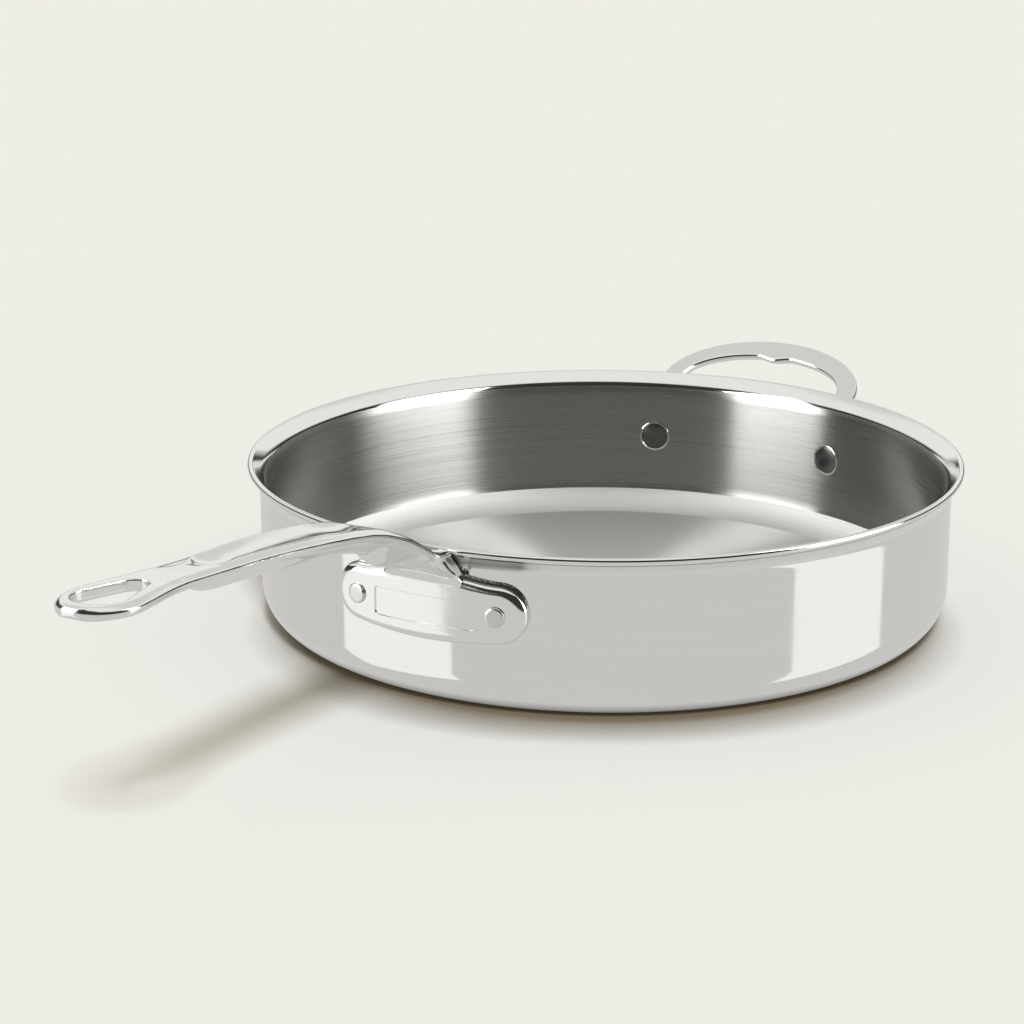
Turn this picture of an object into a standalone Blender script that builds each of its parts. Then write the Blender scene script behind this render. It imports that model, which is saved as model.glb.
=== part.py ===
"""Saute pan: a pan pressed from clad sheet, with a long handle and a helper handle, cast and riveted on.

Units are metres, +Z is up. The origin is the centre of the base's underside. The long handle points along -X
and the helper handle along +X.
"""

import math

import bmesh
import bpy
from mathutils import Matrix, Vector

# Pan: the outer sides of the sheet
WALL_RADIUS = 0.152
PAN_HEIGHT = 0.0702
BASE_CORNER_RADIUS = 0.0162
ROUND_STEPS = 64
RIVET_STEPS = 24
HOLE_STEPS = 20

# The sheet's three layers, with the gap that parts them
OUTER_PLY = 0.0006
CORE_PLY = 0.0010
INNER_PLY = 0.0006
GAP = 0.0003
SHEET = OUTER_PLY + GAP + CORE_PLY + GAP + INNER_PLY

# Flared lip, which is a fold of the inner layer
FLARE_RADIUS = 0.008
FLARE_ANGLE = math.radians(40)
FLARE_STRAIGHT = 0.0048
LIP_FOLD = 0.0010

# Rivets
RIVET_SHANK_RADIUS = 0.0031
RIVET_HEAD_RADIUS = 0.0064
RIVET_HEAD_CHAMFER = 0.0004
RIVET_HEAD_PROUD = 0.00025
RIVET_TAIL_RADIUS = 0.0042
RIVET_TAIL_HEIGHT = 0.0009
RIVET_TAIL_CHAMFER = 0.0003
RIVET_CLEARANCE = 0.0003

# Long handle
HANDLE_REACH = 0.2240
PLATE_THICKNESS = 0.0047
PLATE_LOBE_RADIUS = 0.0123
PLATE_LOBE_OFFSET = 0.0004
PLATE_BELLY = 0.0020
PLATE_TOP_RISE = 0.0019
PLATE_EDGE_ROUND = 0.0042
PLATE_EDGE_HEIGHT = 0.0038
LONG_RIVET_SPREAD = 0.0311
LONG_RIVET_DROP = 0.0263
PLATE_LOBE_DROP = 0.0261
PANEL_LENGTH = 0.0444
PANEL_HEIGHT = 0.0118
PANEL_CORNER = 0.0016
PANEL_DEPTH = 0.0006
PANEL_DROP = 0.0272
NECK_INSET = 0.0003
NECK_HALF_WIDTH = 0.0149
NECK_CROWN = 0.0003
GRIP_START = 0.046
GRIP_HALF_WIDTH = 0.0133
GRIP_SHOULDER = 0.0013
GRIP_WEB = 0.0046
GRIP_LEAN = 0.0022
WAIST_HALF_WIDTH = 0.0103
TROUGH_HALF_WIDTH = 0.0100
TROUGH_DEPTH = 0.0018
TROUGH_RIM_WIDTH = 0.0032
EDGE_ROUND = 0.0024
LOOP_LENGTH = 0.0625
LOOP_SWELL_START = 0.054
LOOP_SWELL_END = 0.0145
LOOP_HALF_WIDTH = 0.0151
LOOP_END_LENGTH = 0.0185
LOOP_SHOULDER = 0.27
LOOP_LEAST_FLAT = 0.4
LOOP_THICKNESS = 0.0048
LOOP_TOP = 0.0367
LOOP_TILT = 0.045
HOLE_END_RADIUS = 0.0098
HOLE_NECK_RADIUS = 0.0050
HOLE_LENGTH = 0.0338
HOLE_TIP_WEB = 0.0061
HOLE_FLARE = 0.0007

# Helper handle
LOOP_HALF_SPAN = 0.046
LOOP_DEPTH = 0.0265
LOOP_START = 0.0105
LOOP_SLOPE = math.radians(25)
LOOP_DROP = 0.0059
STRAP_HALF_WIDTH = 0.0049
STRAP_CROWN_HALF_WIDTH = 0.0061
STRAP_THICKNESS = 0.0050
THUMB_BUMP = 0.0026
THUMB_BUMP_LENGTH = 0.010
FOOT_HALF_WIDTH = 0.0120
FOOT_THICKNESS = 0.0038
HELPER_RIVET_ANGLE = math.radians(17.9)
HELPER_RIVET_DROP = 0.0313
KNEE_RADIUS = 0.012

MM = 0.001
CUTTER_OVERRUN = 3 * MM
MERGE_DISTANCE = 0.001 * MM
SHARP_ANGLE = math.radians(38)
CURVED_UP_TO = 6 * MM
STRAIGHT_FROM = 22 * MM


def new_collection(name):
    """An empty collection of this name in the scene."""
    collection = bpy.data.collections.new(name)
    bpy.context.scene.collection.children.link(collection)
    return collection


def steel(name, colour, roughness):
    """A metal material of one colour."""
    material = bpy.data.materials.new(name)
    material.use_nodes = True
    shader = material.node_tree.nodes["Principled BSDF"]
    shader.inputs["Base Color"].default_value = (*colour, 1)
    shader.inputs["Metallic"].default_value = 1
    shader.inputs["Roughness"].default_value = roughness
    return material


def object_from(bm, name, collection, material=None):
    """The bmesh as an object with smooth round stretches and crisp corners."""
    bmesh.ops.recalc_face_normals(bm, faces=bm.faces)
    mesh = bpy.data.meshes.new(name)
    bm.to_mesh(mesh)
    bm.free()
    mesh.shade_smooth()
    mesh.set_sharp_from_angle(angle=SHARP_ANGLE)
    obj = bpy.data.objects.new(name, mesh)
    if material:
        mesh.materials.append(material)
    collection.objects.link(obj)
    return obj


def cutter_from(bm, name, collection):
    """The bmesh as a hidden wire object, for Booleans."""
    obj = object_from(bm, name, collection)
    obj.hide_render = True
    obj.display_type = "WIRE"
    return obj


def boolean(obj, other, operation):
    """An exact Boolean of this kind on the object."""
    modifier = obj.modifiers.new(operation.title() + " " + other.name, "BOOLEAN")
    modifier.operation = operation
    modifier.solver = "EXACT"
    modifier.object = other


def loft(rings, capped=True):
    """A closed bmesh through rings of equally many points, capped unless the rings close by themselves."""
    bm = bmesh.new()
    loops = [[bm.verts.new(point) for point in ring] for ring in rings]
    for first, second in zip(loops, loops[1:]):
        for i in range(len(first)):
            j = (i + 1) % len(first)
            bm.faces.new((first[i], first[j], second[j], second[i]))
    if capped:
        bm.faces.new(loops[0])
        bm.faces.new(reversed(loops[-1]))
    return bm


def smooth_step(value, start, end):
    """0 before start, 1 after end, and an S curve between."""
    share = min(max((value - start) / (end - start), 0), 1)
    return share * share * (3 - 2 * share)


def on_wall(out, across, up):
    """A point of the long handle: out from the wall, across along the wall, and up from the rim's top.

    Near the wall, across runs round the pan. Further out it is straight.
    """
    radius = WALL_RADIUS + out
    turn = across / WALL_RADIUS
    round_point = Vector((-radius * math.cos(turn), -radius * math.sin(turn)))
    straight_point = Vector((-radius, -across))
    straightness = smooth_step(out, CURVED_UP_TO, STRAIGHT_FROM)
    x, y = round_point.lerp(straight_point, straightness)
    return Vector((x, y, PAN_HEIGHT + up))


# Pan


FLARE_START = PAN_HEIGHT - (
    (FLARE_RADIUS + SHEET / 2) * math.sin(FLARE_ANGLE)
    + FLARE_STRAIGHT * math.cos(FLARE_ANGLE)
    + SHEET / 2
)


def sheet_line(depth, straight):
    """(radius, height) points of the sheet at this depth below its outside, from the axis to the lip."""
    corner = WALL_RADIUS - BASE_CORNER_RADIUS
    points = [(0, depth)]
    for i in range(6):
        angle = math.radians(90) * i / 5
        arm = BASE_CORNER_RADIUS - depth
        points.append((corner + arm * math.sin(angle), BASE_CORNER_RADIUS - arm * math.cos(angle)))
    centre = WALL_RADIUS + FLARE_RADIUS
    for i in range(4):
        angle = FLARE_ANGLE * i / 3
        arm = FLARE_RADIUS + depth
        points.append((centre - arm * math.cos(angle), FLARE_START + arm * math.sin(angle)))
    radius, height = points[-1]
    points.append((radius + straight * math.sin(FLARE_ANGLE), height + straight * math.cos(FLARE_ANGLE)))
    return points


def lip_round():
    """(radius, height) points round the lip's end, from its inside to its outside."""
    radius, height = sheet_line(SHEET / 2, FLARE_STRAIGHT)[-1]
    points = []
    for i in range(1, 6):
        angle = math.radians(180) * i / 6
        side = SHEET / 2 * math.cos(angle)
        along = SHEET / 2 * math.sin(angle)
        points.append(
            (
                radius - side * math.cos(FLARE_ANGLE) + along * math.sin(FLARE_ANGLE),
                height + side * math.sin(FLARE_ANGLE) + along * math.cos(FLARE_ANGLE),
            )
        )
    return points


def turned(profile, steps, name, collection, material):
    """A profile of (radius, height) points from axis to axis, turned about Z in this many steps."""
    mesh = bpy.data.meshes.new(name)
    points = [(radius, 0, height) for radius, height in profile]
    mesh.from_pydata(points, [(i, i + 1) for i in range(len(points) - 1)], [])
    mesh.materials.append(material)
    obj = bpy.data.objects.new(name, mesh)
    collection.objects.link(obj)
    screw = obj.modifiers.new("Turn", "SCREW")
    screw.axis = "Z"
    screw.steps = steps
    screw.render_steps = steps
    screw.use_merge_vertices = True
    screw.merge_threshold = 0.00001
    screw.use_smooth_shade = True
    return obj


def make_pan(collection, polished, brushed, aluminium):
    """The three layers of the pan."""
    plain_end = FLARE_STRAIGHT - LIP_FOLD - GAP
    fold_start = FLARE_STRAIGHT - LIP_FOLD
    core_out = OUTER_PLY + GAP
    core_in = core_out + CORE_PLY
    inner_out = core_in + GAP

    outer_profile = sheet_line(OUTER_PLY, plain_end) + sheet_line(0, plain_end)[::-1]
    core_profile = sheet_line(core_in, plain_end) + sheet_line(core_out, plain_end)[::-1]
    inner_profile = (
        sheet_line(SHEET, FLARE_STRAIGHT)
        + lip_round()
        + [sheet_line(0, FLARE_STRAIGHT)[-1], sheet_line(0, fold_start)[-1]]
        + sheet_line(inner_out, fold_start)[::-1]
    )
    return (
        turned(outer_profile, ROUND_STEPS, "pan_outer_ply", collection, polished),
        turned(core_profile, ROUND_STEPS, "pan_core_ply", collection, aluminium),
        turned(inner_profile, ROUND_STEPS, "pan_inner_ply", collection, brushed),
    )


# Rivets


def rivet_place(angle, up):
    """A rivet's matrix at this angle from -X: local +Z points out of the pan, and z = 0 is its outside."""
    outward = Vector((-math.cos(angle), -math.sin(angle), 0))
    turn = outward.to_track_quat("Z", "Y").to_matrix().to_4x4()
    return Matrix.Translation(outward * WALL_RADIUS + Vector((0, 0, PAN_HEIGHT + up))) @ turn


def make_rivet(name, angle, up, grip, collection, material):
    """A turned rivet: flush head inside the pan, shank, and a low round tail on the handle's outside.

    Grip is how far the handle's outer face stands out from the wall.
    """
    head_face = -SHEET - RIVET_HEAD_PROUD
    head_seat = -OUTER_PLY - GAP
    tail_seat = grip + GAP
    tail_face = tail_seat + RIVET_TAIL_HEIGHT
    profile = [
        (0, tail_face),
        (RIVET_TAIL_RADIUS - RIVET_TAIL_CHAMFER, tail_face),
        (RIVET_TAIL_RADIUS, tail_face - RIVET_TAIL_CHAMFER),
        (RIVET_TAIL_RADIUS, tail_seat),
        (RIVET_SHANK_RADIUS, tail_seat),
        (RIVET_SHANK_RADIUS, head_seat),
        (RIVET_HEAD_RADIUS, head_seat),
        (RIVET_HEAD_RADIUS, head_face + RIVET_HEAD_CHAMFER),
        (RIVET_HEAD_RADIUS - RIVET_HEAD_CHAMFER, head_face),
        (0, head_face),
    ]
    rivet = turned(profile, RIVET_STEPS, name, collection, material)
    rivet.matrix_world = rivet_place(angle, up)


def hole_cutter(name, angle, up, grip, cutters):
    """A rivet's stepped hole: wide in the inner layers, narrow in the outer layer and the handle."""
    step = -OUTER_PLY - GAP / 2
    wide = RIVET_HEAD_RADIUS + RIVET_CLEARANCE
    narrow = RIVET_SHANK_RADIUS + RIVET_CLEARANCE
    inside = -SHEET - CUTTER_OVERRUN
    outside = grip + CUTTER_OVERRUN
    bm = loft(
        [
            [Vector((radius * math.cos(turn), radius * math.sin(turn), height)) for turn in turns(HOLE_STEPS)]
            for radius, height in ((wide, inside), (wide, step), (narrow, step), (narrow, outside))
        ]
    )
    cutter = cutter_from(bm, name, cutters)
    cutter.matrix_world = rivet_place(angle, up)
    return cutter


def turns(count):
    """Angles of equal steps round a circle."""
    return [2 * math.pi * i / count for i in range(count)]


# Long handle


PLATE_OUT = GAP + PLATE_THICKNESS


def plate_outline():
    """(across, up) points round the plate: two round lobes, a bellied bottom edge and a raised top."""
    lobe = LONG_RIVET_SPREAD + PLATE_LOBE_OFFSET
    top = -PLATE_LOBE_DROP + PLATE_LOBE_RADIUS
    columns = ((0, 1.0), (0.27, 1.0), (0.52, 0.95), (0.72, 0.5))
    bottom_edge = []
    top_edge = []
    for share, rise in columns:
        belly = PLATE_BELLY * (1 - share**2)
        bottom_edge.append((lobe * share, -PLATE_LOBE_DROP - PLATE_LOBE_RADIUS - belly))
        top_edge.append((lobe * share, top + PLATE_TOP_RISE * rise))
    end = []
    for i in range(9):
        angle = math.radians(-90 + 180 * i / 8)
        end.append(
            (
                lobe + PLATE_LOBE_RADIUS * math.cos(angle),
                -PLATE_LOBE_DROP + PLATE_LOBE_RADIUS * math.sin(angle),
            )
        )
    right = bottom_edge + end + top_edge[::-1]
    left = [(-across, up) for across, up in right[1:-1]]
    return right + left[::-1]


def make_plate(cutters):
    """The handle's plate, bent round the wall, as a solid for the union.

    Its rings run from the middle of the back, round the edge, to the middle of the front.
    """
    spine = LONG_RIVET_SPREAD
    levels = [(GAP, 0), (GAP, 0.5), (GAP, 1)]
    for i in range(5):
        angle = math.radians(90) * i / 4
        inset = PLATE_EDGE_ROUND * (1 - math.cos(angle))
        out = PLATE_OUT - PLATE_EDGE_HEIGHT * (1 - math.sin(angle))
        levels.append((out, 1 - inset / PLATE_LOBE_RADIUS))
    levels += [(PLATE_OUT, 0.3), (PLATE_OUT, 0)]
    rings = []
    for out, share in levels:
        ring = []
        for across, up in plate_outline():
            middle = (min(max(across, -spine), spine), -PLATE_LOBE_DROP)
            spot = (middle[0] + (across - middle[0]) * share, middle[1] + (up - middle[1]) * share)
            ring.append(on_wall(out, *spot))
        rings.append(ring)
    bm = loft(rings, capped=False)
    bmesh.ops.remove_doubles(bm, verts=bm.verts, dist=MERGE_DISTANCE)
    return cutter_from(bm, "plate_solid", cutters)


def handle_ring(top, bottom, half_width, trough, dip, shoulder, web):
    """One section of the long handle.

    Top and bottom are (out, up) at its middle. Trough is the half width of the recess on top, dip its
    depth, shoulder how far the edges drop, and web the thickness beside the keel.
    """
    depth = math.dist(top, bottom)
    keel = depth - web
    edge = min(EDGE_ROUND, half_width / 3, web / 2)
    half = [
        (0, dip),
        (0.5 * trough, 0.8 * dip),
        (0.85 * trough, 0.28 * dip),
        (trough, 0),
        (half_width - 0.45 * edge, 0.7 * shoulder),
        (half_width - 0.08 * edge, shoulder + 0.2 * edge),
        (half_width, shoulder + 0.55 * edge),
        (half_width - 0.2 * edge, web - 0.2 * edge),
        (half_width - edge, web),
        (0.60 * half_width, web + 0.25 * keel),
        (0.36 * half_width, web + 0.72 * keel),
        (0.16 * half_width, web + 0.95 * keel),
        (0, web + keel),
    ]
    points = half + [(-across, down) for across, down in half[-2:0:-1]]
    ring = []
    for across, down in points:
        share = down / depth
        out = top[0] + (bottom[0] - top[0]) * share
        up = top[1] + (bottom[1] - top[1]) * share
        ring.append(on_wall(out, across, up))
    return ring


def neck_rings():
    """Sections from inside the plate, up under the rim and over the arch, to where the grip starts.

    Each row is top (out, up), bottom (out, up), extra half width, shoulder and web in millimetres.
    """
    back = (GAP + NECK_INSET) / MM
    front = (PLATE_OUT - NECK_INSET) / MM
    rows = (
        ((back, -22.0), (front, -22.0), 5.1, 0.2, front - back),
        ((back, -13.5), (front + 0.7, -14.0), 2.7, 0.2, front),
        ((1.2, -9.3), (7.2, -10.6), 0.9, 0.3, 6.6),
        ((3.3, -5.8), (10.3, -8.2), 0.1, 0.4, 8.4),
        ((6.3, -2.6), (13.6, -5.2), 0, 0.6, 8.8),
        ((7.4, 0.2), (16.8, -2.7), 0, 0.9, 10.6),
        ((11.0, 1.7), (19.6, -0.7), 0, 1.0, 9.4),
        ((15.2, 2.6), (21.6, 0.2), 0, 1.0, 7.2),
        ((19.4, 4.3), (23.4, -0.4), 0, 1.0, 5.6),
        ((23.4, 6.6), (26.6, -1.9), -0.1, 1.0, 4.9),
        ((28.0, 9.3), (32.0, -1.9), -0.2, 1.0, 4.6),
        ((34.0, 12.6), (38.0, -0.2), -0.4, 1.0, 4.5),
        ((40.0, 15.4), (43.6, 3.0), -0.6, 1.1, 4.5),
    )
    rings = []
    for top, bottom, extra, shoulder, web in rows:
        half_width = NECK_HALF_WIDTH + extra * MM
        rings.append(
            handle_ring(
                (top[0] * MM, top[1] * MM),
                (bottom[0] * MM, bottom[1] * MM),
                half_width,
                0.6 * half_width,
                -NECK_CROWN,
                shoulder * MM,
                web * MM,
            )
        )
    return rings


def grip_rings():
    """Sections along the grip. Each row is share of the way, height of the top and depth, in millimetres."""
    end = HANDLE_REACH - LOOP_LENGTH
    rows = (
        (0.00, 17.9, 10.8),
        (0.08, 20.9, 10.6),
        (0.20, 23.7, 10.4),
        (0.34, 26.3, 10.9),
        (0.48, 28.5, 11.5),
        (0.62, 30.3, 11.6),
        (0.76, 31.6, 11.3),
        (0.88, 32.6, 10.9),
        (0.94, 33.2, 9.9),
        (0.97, 33.5, 8.7),
        (1.00, 33.8, 6.8),
    )
    rings = []
    for share, height, depth in rows:
        out = GRIP_START + (end - GRIP_START) * share
        widening = smooth_step(share, 0.95, 0.35)
        half_width = WAIST_HALF_WIDTH + (GRIP_HALF_WIDTH - WAIST_HALF_WIDTH) * widening
        half_width += (NECK_HALF_WIDTH - GRIP_HALF_WIDTH) * smooth_step(share, 0.3, -0.3)
        opening = smooth_step(share, -0.06, 0.22) * (1 - smooth_step(share, 0.90, 0.965))
        narrowing = (half_width - TROUGH_RIM_WIDTH) / (GRIP_HALF_WIDTH - TROUGH_RIM_WIDTH)
        trough = TROUGH_HALF_WIDTH * min(narrowing, 1) * max(opening, 0.45)
        lean = GRIP_LEAN * (1 - smooth_step(share, 0, 0.8))
        rings.append(
            handle_ring(
                (out, height * MM),
                (out + lean, (height - depth) * MM),
                half_width,
                trough,
                TROUGH_DEPTH * smooth_step(opening, 0.1, 0.9),
                GRIP_SHOULDER,
                GRIP_WEB,
            )
        )
    return rings


def loop_rings():
    """Sections of the flat loop end. Each row is distance back from the tip and height, in millimetres."""
    rows = (
        (53.0, 34.7),
        (43.0, 35.4),
        (34.0, 36.0),
        (26.0, 36.4),
        (18.5, 36.7),
        (13.5, 36.9),
        (9.0, 37.1),
        (5.5, 37.25),
        (3.0, 37.35),
        (1.4, 37.4),
        (0.5, 37.4),
        (0.1, 37.4),
    )
    rings = []
    for back, height in rows:
        back = back * MM
        if back >= LOOP_END_LENGTH:
            swell = smooth_step(back, LOOP_SWELL_START, LOOP_SWELL_END)
            half_width = WAIST_HALF_WIDTH + (LOOP_HALF_WIDTH - WAIST_HALF_WIDTH) * swell
        else:
            half_width = LOOP_HALF_WIDTH * math.sqrt(1 - (1 - back / LOOP_END_LENGTH) ** 2)
        past_round = min(back / EDGE_ROUND, 1)
        thickness = LOOP_THICKNESS * math.sqrt(1 - (1 - past_round) ** 2)
        drop = (LOOP_THICKNESS - thickness) / 2
        top = (HANDLE_REACH - back, height * MM - drop)
        bottom = (HANDLE_REACH - back, height * MM - drop - thickness)
        flat = max(half_width - EDGE_ROUND, LOOP_LEAST_FLAT * half_width)
        rings.append(handle_ring(top, bottom, half_width, flat, 0, LOOP_SHOULDER * thickness, thickness))
    return rings


def hanging_hole(cutters):
    """The teardrop hole: two arcs joined by straight sides, wider at its top and bottom than between."""
    far = HANDLE_REACH - HOLE_TIP_WEB - HOLE_END_RADIUS
    near = HANDLE_REACH - HOLE_TIP_WEB - HOLE_LENGTH + HOLE_NECK_RADIUS
    lean = math.asin((HOLE_END_RADIUS - HOLE_NECK_RADIUS) / (far - near))
    outline = []
    for centre, radius, first, last in (
        (far, HOLE_END_RADIUS, -math.pi / 2 - lean, math.pi / 2 + lean),
        (near, HOLE_NECK_RADIUS, math.pi / 2 + lean, math.pi * 1.5 - lean),
    ):
        for i in range(13):
            angle = first + (last - first) * i / 12
            outline.append((centre, radius, angle))
    half = LOOP_THICKNESS / 2
    rings = []
    for rise, flare in ((-4 * half, 5), (-half, 1), (-half / 2, 0), (half / 4, 0), (half, 1), (4 * half, 5)):
        ring = []
        for centre, radius, angle in outline:
            arm = radius + flare * HOLE_FLARE
            middle = LOOP_TOP - half + (centre - far) * LOOP_TILT
            ring.append(on_wall(centre + arm * math.cos(angle), arm * math.sin(angle), middle + rise))
        rings.append(ring)
    return cutter_from(loft(rings), "hanging_hole", cutters)


def panel_cutter(cutters):
    """The shallow rectangle with round corners on the plate's face."""
    flat = PANEL_LENGTH / 2 - PANEL_CORNER
    steps = [-flat - PANEL_CORNER * math.sin(math.radians(angle)) for angle in (90, 60, 30)]
    columns = steps + [-flat + 2 * flat * i / 8 for i in range(9)] + [-across for across in steps[::-1]]
    rings = []
    for across in columns:
        past = max(abs(across) - flat, 0)
        half_height = PANEL_HEIGHT / 2 - PANEL_CORNER + math.sqrt(max(PANEL_CORNER**2 - past**2, 0))
        low, high = PLATE_OUT - PANEL_DEPTH, PLATE_OUT + CUTTER_OVERRUN
        rings.append(
            [
                on_wall(low, across, -PANEL_DROP - half_height),
                on_wall(low, across, -PANEL_DROP + half_height),
                on_wall(high, across, -PANEL_DROP + half_height),
                on_wall(high, across, -PANEL_DROP - half_height),
            ]
        )
    return cutter_from(loft(rings), "panel", cutters)


def make_long_handle(collection, cutters, polished):
    """The cast handle: neck, grip and loop in one loft, joined to the plate, then cut."""
    bm = loft(neck_rings() + grip_rings() + loop_rings())
    handle = object_from(bm, "long_handle", collection, polished)
    boolean(handle, make_plate(cutters), "UNION")
    boolean(handle, panel_cutter(cutters), "DIFFERENCE")
    boolean(handle, hanging_hole(cutters), "DIFFERENCE")
    return handle


# Helper handle


def helper_ring(centre, across, top, half_width, thickness, hug):
    """One section of the helper strap: flat towards top and rounded on the other side.

    Hug is how far it bends to lie on the wall, from 0 to 1.
    """
    shape = (
        (0, 1.00),
        (0.42, 1.00),
        (0.80, 1.00),
        (0.96, 0.80),
        (1.00, 0.35),
        (0.95, -0.25),
        (0.78, -0.70),
        (0.42, -0.95),
        (0, -1.00),
    )
    ring = []
    for side, rise in shape + tuple((-side, rise) for side, rise in shape[-2:0:-1]):
        offset = side * half_width
        lift = rise * thickness / 2 + hug * offset**2 / (2 * WALL_RADIUS)
        ring.append(centre + across * offset + top * lift)
    return ring


def helper_path():
    """(centre, across, top, half width, thickness, hug) along the +Y half, from the foot to the crown."""
    radial = Vector((math.cos(HELPER_RIVET_ANGLE), math.sin(HELPER_RIVET_ANGLE), 0))
    sideways = Vector((-math.sin(HELPER_RIVET_ANGLE), math.cos(HELPER_RIVET_ANGLE), 0))
    foot_centre = radial * (WALL_RADIUS + GAP + FOOT_THICKNESS / 2)
    rivet_height = PAN_HEIGHT - HELPER_RIVET_DROP
    stations = []
    for i in range(7):
        angle = math.radians(-84 + 84 * i / 6)
        height = rivet_height + FOOT_HALF_WIDTH * math.sin(angle)
        width = FOOT_HALF_WIDTH * math.cos(angle)
        spot = foot_centre + Vector((0, 0, height))
        stations.append((spot, sideways, -radial, width, FOOT_THICKNESS, 1))

    slope_line = Vector((math.cos(LOOP_SLOPE), 0, math.sin(LOOP_SLOPE)))
    loop_centre = Vector((WALL_RADIUS + LOOP_START, 0, PAN_HEIGHT - LOOP_DROP))
    leg_end = loop_centre + Vector((0, LOOP_HALF_SPAN, 0))
    reach = leg_end.x - foot_centre.x
    corner_height = leg_end.z - reach * math.tan(LOOP_SLOPE)
    bend = math.pi / 2 - LOOP_SLOPE
    tangent = KNEE_RADIUS * math.tan(bend / 2)
    knee_centre = Vector((foot_centre.x + KNEE_RADIUS, 0, corner_height - tangent))
    knee_start = foot_centre.y
    count = 6
    for i in range(count + 1):
        turn = bend * i / count
        ease = smooth_step(i / count, 0, 1)
        spot = knee_centre + Vector((-math.cos(turn), 0, math.sin(turn))) * KNEE_RADIUS
        spot.y = knee_start + (leg_end.y - knee_start) * ease
        across = sideways.lerp(Vector((0, 1, 0)), ease).normalized()
        top = -radial.lerp(Vector((1, 0, 0)), ease).normalized()
        top.rotate(Matrix.Rotation(turn, 3, "Y"))
        width = STRAP_HALF_WIDTH + (FOOT_HALF_WIDTH - STRAP_HALF_WIDTH) * (1 - smooth_step(i, -3, 4))
        thickness = FOOT_THICKNESS + (STRAP_THICKNESS - FOOT_THICKNESS) * ease
        stations.append((spot, across, top, width, thickness, 1 - ease))

    strap_top = Vector((-math.sin(LOOP_SLOPE), 0, math.cos(LOOP_SLOPE)))
    for i in range(15):
        angle = math.radians(90) * i / 14
        spot = loop_centre + Vector((0, LOOP_HALF_SPAN * math.cos(angle), 0))
        spot += slope_line * (LOOP_DEPTH / math.cos(LOOP_SLOPE) * math.sin(angle))
        along = Vector((0, -LOOP_HALF_SPAN * math.sin(angle), 0))
        along += slope_line * (LOOP_DEPTH / math.cos(LOOP_SLOPE) * math.cos(angle))
        across = strap_top.cross(along.normalized())
        width = STRAP_HALF_WIDTH + (STRAP_CROWN_HALF_WIDTH - STRAP_HALF_WIDTH) * smooth_step(angle, 0.2, 1.4)
        bump = 1 - smooth_step(abs(spot.y), 0, THUMB_BUMP_LENGTH)
        width += THUMB_BUMP / 2 * bump
        spot -= slope_line * (THUMB_BUMP / 2 * bump)
        stations.append((spot, across, strap_top, width, STRAP_THICKNESS, 0))
    return stations


def make_helper_handle(collection, polished):
    """The cast loop: a strap swept from one foot, round the loop, to the other foot."""
    rings = [helper_ring(*station) for station in helper_path()]
    mirrored = [[point * Vector((1, -1, 1)) for point in ring] for ring in rings[-2::-1]]
    return object_from(loft(rings + mirrored), "helper_handle", collection, polished)


def main():
    for obj in list(bpy.data.objects):
        bpy.data.objects.remove(obj, do_unlink=True)
    parts = new_collection("saute_pan")
    cutters = new_collection("cutters")

    polished = steel("polished_steel", (0.80, 0.79, 0.77), 0.08)
    cast = steel("polished_cast_steel", (0.79, 0.78, 0.76), 0.12)
    brushed = steel("brushed_steel", (0.72, 0.71, 0.69), 0.32)
    aluminium = steel("aluminium_core", (0.85, 0.86, 0.87), 0.40)

    plies = make_pan(parts, polished, brushed, aluminium)
    long_handle = make_long_handle(parts, cutters, cast)
    helper_handle = make_helper_handle(parts, cast)

    long_angle = LONG_RIVET_SPREAD / WALL_RADIUS
    handles = (
        (long_handle, 0, long_angle, -LONG_RIVET_DROP, PLATE_OUT),
        (helper_handle, math.pi, -HELPER_RIVET_ANGLE, -HELPER_RIVET_DROP, GAP + FOOT_THICKNESS),
    )
    for handle, middle, spread, up, grip in handles:
        for side, angle in (("left", middle + spread), ("right", middle - spread)):
            name = handle.name + "_rivet_" + side
            make_rivet(name, angle, up, grip, parts, polished)
            hole = hole_cutter(name + "_hole", angle, up, grip, cutters)
            for holed in (*plies, handle):
                boolean(holed, hole, "DIFFERENCE")


main()
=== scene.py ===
"""Looks of the saute pan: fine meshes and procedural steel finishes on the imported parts, in a small studio.

Units are metres, +Z is up, and the long handle points along -X, as in the CAD.
"""

import math

import bmesh
import bpy
from mathutils import Matrix, Vector


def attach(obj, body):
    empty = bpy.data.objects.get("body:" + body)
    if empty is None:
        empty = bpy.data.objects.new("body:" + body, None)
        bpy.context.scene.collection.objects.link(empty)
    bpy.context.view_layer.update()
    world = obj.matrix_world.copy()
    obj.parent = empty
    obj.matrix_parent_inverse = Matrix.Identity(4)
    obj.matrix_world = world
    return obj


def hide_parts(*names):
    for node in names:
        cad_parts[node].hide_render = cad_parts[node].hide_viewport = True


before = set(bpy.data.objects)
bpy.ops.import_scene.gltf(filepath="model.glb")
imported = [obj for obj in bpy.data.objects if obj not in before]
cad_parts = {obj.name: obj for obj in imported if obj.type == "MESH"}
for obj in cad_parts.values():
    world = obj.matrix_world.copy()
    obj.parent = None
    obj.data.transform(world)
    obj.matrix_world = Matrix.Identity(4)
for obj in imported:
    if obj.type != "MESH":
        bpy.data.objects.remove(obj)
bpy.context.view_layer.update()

MM = 0.001

# Sizes of the pan, as in the CAD
WALL_RADIUS = 0.152
PAN_HEIGHT = 0.0702
BASE_CORNER_RADIUS = 0.0162
OUTER_PLY = 0.0006
CORE_PLY = 0.0010
INNER_PLY = 0.0006
GAP = 0.0003
SHEET = OUTER_PLY + GAP + CORE_PLY + GAP + INNER_PLY
FLARE_RADIUS = 0.008
FLARE_ANGLE = math.radians(40)
FLARE_STRAIGHT = 0.0048
LIP_FOLD = 0.0010
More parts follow.
